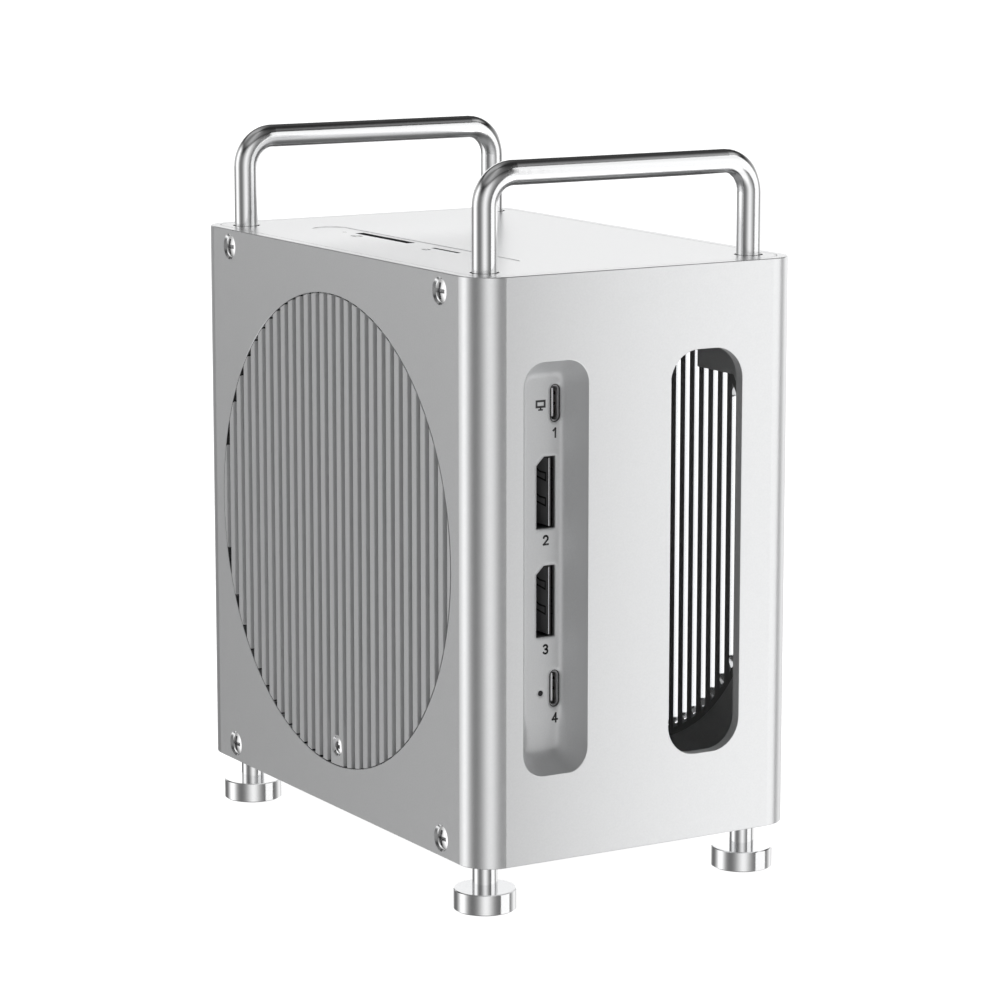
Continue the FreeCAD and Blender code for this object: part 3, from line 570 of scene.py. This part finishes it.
def grille_metal():
    """Blasted face and a back painted dark as shade. In the gaps the blast reaches one wall near the face,
    with a darker tone that is partly painted shade, and the cutter's bright finish is left on the rest."""
    material, tree, shader = principled("grille_metal", metallic=1.0)
    face_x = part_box("right_grille")[1].x
    place = tree.place()
    axes = tree.axes(place)
    facing = tree.axes(tree.add("ShaderNodeNewGeometry").outputs["True Normal"])
    side = tree.math("SIGN", axes["X"])
    depth = tree.math("SUBTRACT", face_x, tree.math("ABSOLUTE", axes["X"]))
    mouth = tree.smooth_step(depth, *GAP_MOUTH)
    shallow = tree.math("LESS_THAN", depth, tree.spread(side, -1.0, 1.0, *GAP_BLAST_AND_SHADE_DEPTHS))
    turned = tree.math("GREATER_THAN", tree.math("MULTIPLY", facing["Y"], side), FACING)
    struck_and_shaded = tree.math("MULTIPLY", shallow, turned)
    back = tree.math("LESS_THAN", tree.math("MULTIPLY", facing["X"], side), -FACING)
    front_finish = tree.mix(mouth, FACE_ROUGHNESS, tree.choose(struck_and_shaded, CUTTER_ROUGHNESS, GAP_ROUGHNESS))
    finish = tree.mix(back, front_finish, BACK_ROUGHNESS)
    face_tone, roughness = blasted(tree, place, GRILLE_TONES, finish)
    # The blasted gap walls' darker tone is partly painted shade, and the backs' tone is painted shade
    front_tone = tree.mix_tones(mouth, face_tone, tree.mix_tones(struck_and_shaded, *GAP_FINISH_AND_SHADE_TONES))
    connect(tree, shader, Base_Color=tree.mix_tones(back, front_tone, BACK_SHADE_TONE), Roughness=roughness)
    return material


def rod_metal():
    """Polished rod with faint draw marks along its legs."""
    material, tree, shader = principled("rod_metal", metallic=1.0)
    marks = tree.fine_noise(tree.place(ROD_STRETCH), ROD_SCALE)
    connect(tree, shader,
            Base_Color=tree.mix_tones(marks, *ROD_TONES),
            Roughness=tree.vary(marks, *ROD_ROUGHNESS))
    return material


def foot_metal():
    """Turned and polished, with fine tool rings about each foot's own axis."""
    material, tree, shader = principled("foot_metal", metallic=1.0)
    low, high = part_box("foot_front_right")
    middle = (low + high) / 2
    place = tree.place()
    axes = tree.axes(place)
    across = tree.math("SUBTRACT", tree.math("ABSOLUTE", axes["X"]), abs(middle.x))
    along = tree.math("SUBTRACT", tree.math("ABSOLUTE", axes["Y"]), abs(middle.y))
    turns = tree.math("MULTIPLY", tree.length(tree.flat(across, along)), 2 * math.pi / TOOL_RING_PITCH)
    marks = tree.fine_noise(place, FOOT_SCALE)
    connect(tree, shader,
            Base_Color=tree.mix_tones(marks, *FOOT_TONES),
            Roughness=tree.vary(marks, *FOOT_ROUGHNESS),
            Normal=tree.bump(tree.math("SINE", turns), *TOOL_RING_RELIEF))
    return material


def screw_metal():
    """Bright nickel; the driver's recess, which lies deeper than the heads' crowns, is rougher and painted
    dark grey as shade.
    """
    material, tree, shader = principled("screw_metal", metallic=1.0)
    face_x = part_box("right_grille")[1].x
    place = tree.place()
    depth = tree.math("SUBTRACT", face_x, tree.math("ABSOLUTE", tree.axes(place)["X"]))
    sunk = tree.smooth_step(depth, *DRIVER_DEPTHS)
    recess = tree.math("MULTIPLY", sunk, tree.math("LESS_THAN", depth, DRIVER_LIMIT))
    marks = tree.fine_noise(place, SCREW_SCALE)
    # The driver's recess is painted dark grey as shade
    connect(tree, shader,
            Base_Color=tree.mix_tones(recess, tree.mix_tones(marks, *SCREW_TONES), DRIVER_SHADE_TONE),
            Roughness=tree.mix(recess, tree.vary(marks, *SCREW_ROUGHNESS), DRIVER_ROUGHNESS))
    return material


def board_laminate():
    """Solder mask over copper tracks, with small plated holes."""
    material, tree, shader = principled("board_laminate")
    place = tree.place()
    tracks = tree.add("ShaderNodeTexBrick", {"Vector": place, **TRACKS}, offset=TRACK_OFFSET).outputs["Fac"]
    holes = tree.add("ShaderNodeTexVoronoi", {"Vector": place, "Scale": HOLE_SCALE}).outputs["Distance"]
    plated = tree.math("LESS_THAN", holes, HOLE_RADIUS)
    connect(tree, shader,
            Base_Color=tree.mix_tones(plated, tree.mix_tones(tracks, *MASK_TONES), PLATING_TONE),
            Roughness=tree.vary(tree.noise(place, MASK_SCALE), *MASK_ROUGHNESS),
            Normal=tree.bump(tracks, *TRACK_RELIEF))
    return material


def matt_material(name, dark, light, rough_low, rough_high, grain, relief, specular):
    """Moulded, printed or fired surface with a grain of its own."""
    material, tree, shader = principled(name, Specular_IOR_Level=specular)
    texture = tree.fine_noise(tree.place(), grain)
    connect(tree, shader,
            Base_Color=tree.mix_tones(texture, dark, light),
            Roughness=tree.vary(texture, rough_low, rough_high),
            Normal=tree.bump(texture, MATT_STRENGTH, relief * MM))
    return material


def drawn_metal(name, dark, light, rough_low, rough_high, stretch):
    """Extruded, drawn or plated metal with fine lines along one axis."""
    material, tree, shader = principled(name, metallic=1.0)
    lines = tree.fine_noise(tree.place(stretch), DRAWN_SCALE)
    connect(tree, shader,
            Base_Color=tree.mix_tones(lines, dark, light),
            Roughness=tree.vary(lines, rough_low, rough_high),
            Normal=tree.bump(lines, *DRAWN_RELIEF))
    return material


def make_materials():
    made = {
        "case_metal": case_metal(),
        "tray_metal": tray_metal(),
        "grille_metal": grille_metal(),
        "rod_metal": rod_metal(),
        "foot_metal": foot_metal(),
        "screw_metal": screw_metal(),
        "board_laminate": board_laminate(),
    }
    for name, finish in MATT_FINISHES.items():
        made[name] = matt_material(name, *finish)
    for name, finish in DRAWN_FINISHES.items():
        made[name] = drawn_metal(name, *finish)
    return made


def dress_nodes(materials):
    for part in frame["record"]["subparts"]:
        mesh = nodes[part["node"]].data
        mesh.materials.clear()
        mesh.materials.append(materials[part["material_slot"]])


# Small pieces that the solids leave out: plated edges in the ports, painted shade in the ports' gaps, latch
# windows and spring slits, printed marks, painted shade in the card slots, and chips

class Shape:
    """Gathers closed prisms drawn on a plane. place(u, v, height) turns a drawn point into a position."""

    def __init__(self, place):
        self.place = place
        self.points = []
        self.faces = []

    def layer(self, outline, height):
        start = len(self.points)
        self.points.extend(self.place(u, v, height) for u, v in outline)
        return list(range(start, start + len(outline)))

    def wall(self, first, second):
        count = len(first)
        for i in range(count):
            j = (i + 1) % count
            self.faces.append((first[i], first[j], second[j], second[i]))

    def prism(self, outline, low, high):
        bottom = self.layer(outline, low)
        top = self.layer(outline, high)
        self.faces.append(tuple(bottom))
        self.faces.append(tuple(top))
        self.wall(bottom, top)

    def ring(self, outer, inner, low, high):
        outer_low, outer_high = self.layer(outer, low), self.layer(outer, high)
        inner_low, inner_high = self.layer(inner, low), self.layer(inner, high)
        self.wall(outer_low, outer_high)
        self.wall(inner_low, inner_high)
        self.wall(outer_low, inner_low)
        self.wall(outer_high, inner_high)

    def ribbon(self, path, width, low, high):
        """Stroke of even width along an open path, one prism to each step."""
        for first, second in zip(path, path[1:]):
            along = (Vector(second) - Vector(first)).normalized() * (width / 2)
            across = Vector((-along.y, along.x))
            start, end = Vector(first) - along, Vector(second) + along
            outline = [start + across, start - across, end - across, end + across]
            self.prism([(corner.x, corner.y) for corner in outline], low, high)

    def build(self, name, material, slot):
        mesh = bpy.data.meshes.new(name)
        mesh.from_pydata([Vector(point) * MM for point in self.points], [], self.faces)
        shape = bmesh.new()
        shape.from_mesh(mesh)
        bmesh.ops.recalc_face_normals(shape, faces=shape.faces)
        shape.to_mesh(mesh)
        shape.free()
        mesh.materials.append(material)
        piece = bpy.data.objects.new(name, mesh)
        scene.collection.objects.link(piece)
        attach(piece, "root")


def rectangle(u, v, width, height):
    return [(u - width / 2, v - height / 2), (u + width / 2, v - height / 2),
            (u + width / 2, v + height / 2), (u - width / 2, v + height / 2)]


def stadium(u, v, width, length, steps=10):
    """Round-ended outline that is longest along v."""
    radius = width / 2
    reach = length / 2 - radius
    points = []
    for end, start in ((1, 0.0), (-1, math.pi)):
        for i in range(steps + 1):
            angle = start + math.pi * i / steps
            points.append((u + radius * math.cos(angle), v + end * reach + radius * math.sin(angle)))
    return points


def arc(u, v, radius_u, radius_v, first, last, steps=10):
    angles = [math.radians(first + (last - first) * i / steps) for i in range(steps + 1)]
    return [(u + radius_u * math.cos(angle), v + radius_v * math.sin(angle)) for angle in angles]


def on_front(u, v, height):
    """Plane of the port strip's floor: u along X, v along Z, heights out of the front."""
    return (u, RECESS_FLOOR_Y - height, v)


def on_side(u, v, height):
    """Planes that face -X: u along Y, v along Z, heights towards -X from the middle of the part."""
    return (-height, u, v)


def on_top(u, v, height):
    """Planes that face up: u along X, v along Y, heights from the floor."""
    return (u, v, height)


def on_board(u, v, height):
    """Plane of the board's right face: u along Y, v along Z, heights towards +X."""
    return (BOARD_RIGHT_X + height, u, v)


def add_small_ports(materials):
    """Dark rings of painted shade in the gaps, metal sleeves with latch windows painted dark as shade, bright
    tongue edges and contacts of the two small ports.
    """
    gap_shades, sleeves, edges = Shape(on_front), Shape(on_front), Shape(on_front)
    contacts, window_shades = Shape(on_side), Shape(on_side)
    inner_wall = -(PORT_X + SLEEVE_INNER[0] / 2)
    for z in SMALL_PORT_Z:
        # Painted shade in the gap round each opening
        gap_shades.ring(stadium(PORT_X, z, *PORT_GAP_SHADE_OUTER), stadium(PORT_X, z, *PORT_GAP_SHADE_INNER), *PORT_GAP_SHADE_HEIGHTS)
        sleeves.ring(stadium(PORT_X, z, *SLEEVE_OUTER), stadium(PORT_X, z, *SLEEVE_INNER), *SLEEVE_HEIGHTS)
        edges.prism(stadium(PORT_X + TONGUE_EDGE_SHIFT, z, *TONGUE_EDGE), *TONGUE_EDGE_HEIGHTS)
        # Latch windows painted dark as shade
        for rise in WINDOW_RISES:
            window_shades.prism(rectangle(RECESS_FLOOR_Y + WINDOW_DEPTH, z + rise, *WINDOW_SIZE),
                          *(inner_wall + height for height in WINDOW_HEIGHTS))
        for i in range(CONTACT_COUNT):
            row = z + (i - (CONTACT_COUNT - 1) / 2) * CONTACT_PITCH
            for shift in CONTACT_FACES:
                face = -(PORT_X + shift)
                contacts.prism(rectangle(RECESS_FLOOR_Y + CONTACT_DEPTH, row, *CONTACT_SIZE),
                               face - CONTACT_HEIGHT, face)
    gap_shades.build("small_port_gap_shades", materials["port_plastic"], "port_plastic")
    sleeves.build("small_port_sleeves", materials["sleeve_metal"], "port_metal")
    edges.build("small_port_tongue_edges", materials["bright_edge"], "port_metal")
    contacts.build("small_port_contacts", materials["contact_gold"], "port_metal")
    window_shades.build("small_port_window_shades", materials["port_plastic"], "port_plastic")


def add_display_ports(materials):
    """Grey cheek, bright front edge and spring outlines on the tongue of each display socket; the outlines
    are slits painted black as shade.
    """
    edges, cheeks, spring_slit_shades = Shape(on_front), Shape(on_side), Shape(on_side)
    face = -DISPLAY_TONGUE_X
    back, bend, front = (RECESS_FLOOR_Y + depth for depth in (SPRING_BACK, SPRING_BEND, SPRING_FRONT))
    for z in DISPLAY_Z:
        edge = rectangle(DISPLAY_TONGUE_X + DISPLAY_EDGE_SHIFT, z, DISPLAY_EDGE_WIDTH, DISPLAY_TONGUE_LENGTH)
        edges.prism(edge, *DISPLAY_EDGE_HEIGHTS)
        cheek = rectangle(RECESS_FLOOR_Y + CHEEK_DEPTH, z, CHEEK_WIDTH, DISPLAY_TONGUE_LENGTH)
        cheeks.prism(cheek, *(face + height for height in CHEEK_HEIGHTS))
        # Slits round the springs, painted black as shade
        for low, high in SPRING_SPANS:
            path = [(back, z + high + SPRING_TOP_RISE), (bend, z + high), (front, z + high), (front, z + low),
                    (back, z + low + SPRING_FOOT_RISE)]
            spring_slit_shades.ribbon(path, SPRING_STROKE, face, face + SPRING_HEIGHT)
    edges.build("display_tongue_edges", materials["bright_edge"], "port_metal")
    cheeks.build("display_tongue_cheeks", materials["tongue_grey"], "port_plastic")
    spring_slit_shades.build("display_spring_slit_shades", materials["slit_shade_black"], "port_plastic")


def numeral(digit):
    """Strokes of a numeral from 1 to 4 in a box one unit high."""
    if digit == 1:
        return [[(0.1, 0.78), (0.36, 1.0), (0.36, 0.0)]]
    if digit == 2:
        return [arc(0.31, 0.71, 0.28, 0.29, 165, -35) + [(0.03, 0.0), (0.62, 0.0)]]
    if digit == 3:
        return [arc(0.29, 0.755, 0.25, 0.245, 150, -90) + arc(0.29, 0.255, 0.28, 0.255, 90, -150)]
    return [[(0.46, 0.0), (0.46, 1.0), (0.02, 0.3), (0.66, 0.3)]]


def add_marks(materials):
    """Plain screen outline, numerals under the ports and card outlines beside the slots, printed thinly."""
    front = Shape(on_front)
    front.ring(rectangle(*SCREEN_PLACE, *SCREEN_OUTER), rectangle(*SCREEN_PLACE, *SCREEN_INNER), 0.0, INK)
    front.ribbon(SCREEN_STEM, SCREEN_STEM_STROKE, 0.0, INK)
    front.ribbon(SCREEN_BASE, THIN_STROKE, 0.0, INK)
    middle_x, middle_y = NUMERAL_MIDDLE
    for digit, (u, v) in enumerate(NUMERAL_PLACES, 1):
        for stroke in numeral(digit):
            path = [(u + (x - middle_x) * NUMERAL_HEIGHT, v + (y - middle_y) * NUMERAL_HEIGHT)
                    for x, y in stroke]
            front.ribbon(path, NUMERAL_STROKE, 0.0, INK)
    front.build("port_marks", materials["mark_ink"], "port_plastic")
    lid = Shape(on_top)
    for u, v, width, length in CARD_MARKS:
        corner = width * CARD_CORNER
        path = [(u - width / 2, v - length / 2), (u + width / 2, v - length / 2),
                (u + width / 2, v + length / 2 - corner), (u + width / 2 - corner, v + length / 2),
                (u - width / 2, v + length / 2), (u - width / 2, v - length / 2)]
        lid.ribbon(path, THIN_STROKE, LID_STRIP_Z, LID_STRIP_Z + INK)
    lid.build("lid_marks", materials["mark_ink"], "port_plastic")


def add_slot_shades(materials):
    """Dark rings of painted shade that line the card slots' walls, just under the lid's surface."""
    slot_shades = Shape(on_top)
    for u, v, width, length in CARD_SLOTS:
        outer = rectangle(u, v, width - SLOT_SHADE_GAP, length - SLOT_SHADE_GAP)
        inner = rectangle(u, v, width - SLOT_SHADE_RIM, length - SLOT_SHADE_RIM)
        slot_shades.ring(outer, inner, *(LID_STRIP_Z - depth for depth in SLOT_SHADE_DEPTHS))
    slot_shades.build("card_slot_shades", materials["port_plastic"], "port_plastic")


def free_on_board(u, v):
    """Whether the board is bare round a place on its right face."""
    towards = Vector((-1.0, 0.0, 0.0))
    for step_u in (-CHIP_ROOM, 0.0, CHIP_ROOM):
        for step_v in (-CHIP_ROOM, 0.0, CHIP_ROOM):
            start = Vector((0.0, (u + step_u) * MM, (v + step_v) * MM))
            reached = [nodes[name].ray_cast(start, towards) for name in BOARD_NODES]
            places = [place.x for hit, place, *_ in reached if hit]
            if not places or abs(max(places) - BOARD_RIGHT_X * MM) > BARE_TOLERANCE * MM:
                return False
    return True


def add_board_chips(materials):
    """Rows of small resistors and capacitors on the bare places of the board's right face."""
    draw = random.Random(CHIP_SEED)
    low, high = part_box("main_board")
    resistors, capacitors, ends = Shape(on_board), Shape(on_board), Shape(on_board)
    reach = CHIP_LENGTH / 2 + CHIP_END / 2
    v = low.z / MM + CHIP_MARGIN
    while v < high.z / MM - CHIP_MARGIN:
        u = low.y / MM + CHIP_MARGIN
        while u < high.y / MM - CHIP_MARGIN:
            wanted = draw.random() < CHIP_SHARE
            upright = draw.random() < EVEN_CHANCE
            bodies = resistors if draw.random() < EVEN_CHANCE else capacitors
            if wanted and free_on_board(u, v):
                width, height = (CHIP_WIDTH, CHIP_LENGTH) if upright else (CHIP_LENGTH, CHIP_WIDTH)
                bodies.prism(rectangle(u, v, width, height), 0.0, CHIP_HEIGHT)
                for side in (-reach, reach):
                    place = (u, v + side) if upright else (u + side, v)
                    cap = (CHIP_WIDTH, CHIP_END) if upright else (CHIP_END, CHIP_WIDTH)
                    ends.prism(rectangle(*place, *cap), 0.0, CHIP_HEIGHT + CHIP_END_RISE)
            u += CHIP_STEP[0]
        v += CHIP_STEP[1]
    resistors.build("board_resistors", materials["chip_epoxy"], "chip_epoxy")
    capacitors.build("board_capacitors", materials["ceramic"], "chip_epoxy")
    ends.build("board_chip_ends", materials["bright_edge"], "port_metal")


set_camera()
set_world()
add_panel()
add_sun()
add_floor()
materials = make_materials()
dress_nodes(materials)
add_small_ports(materials)
add_display_ports(materials)
add_marks(materials)
add_slot_shades(materials)
add_board_chips(materials)
scene.view_settings.view_transform = "Standard"
scene.view_settings.look = "None"
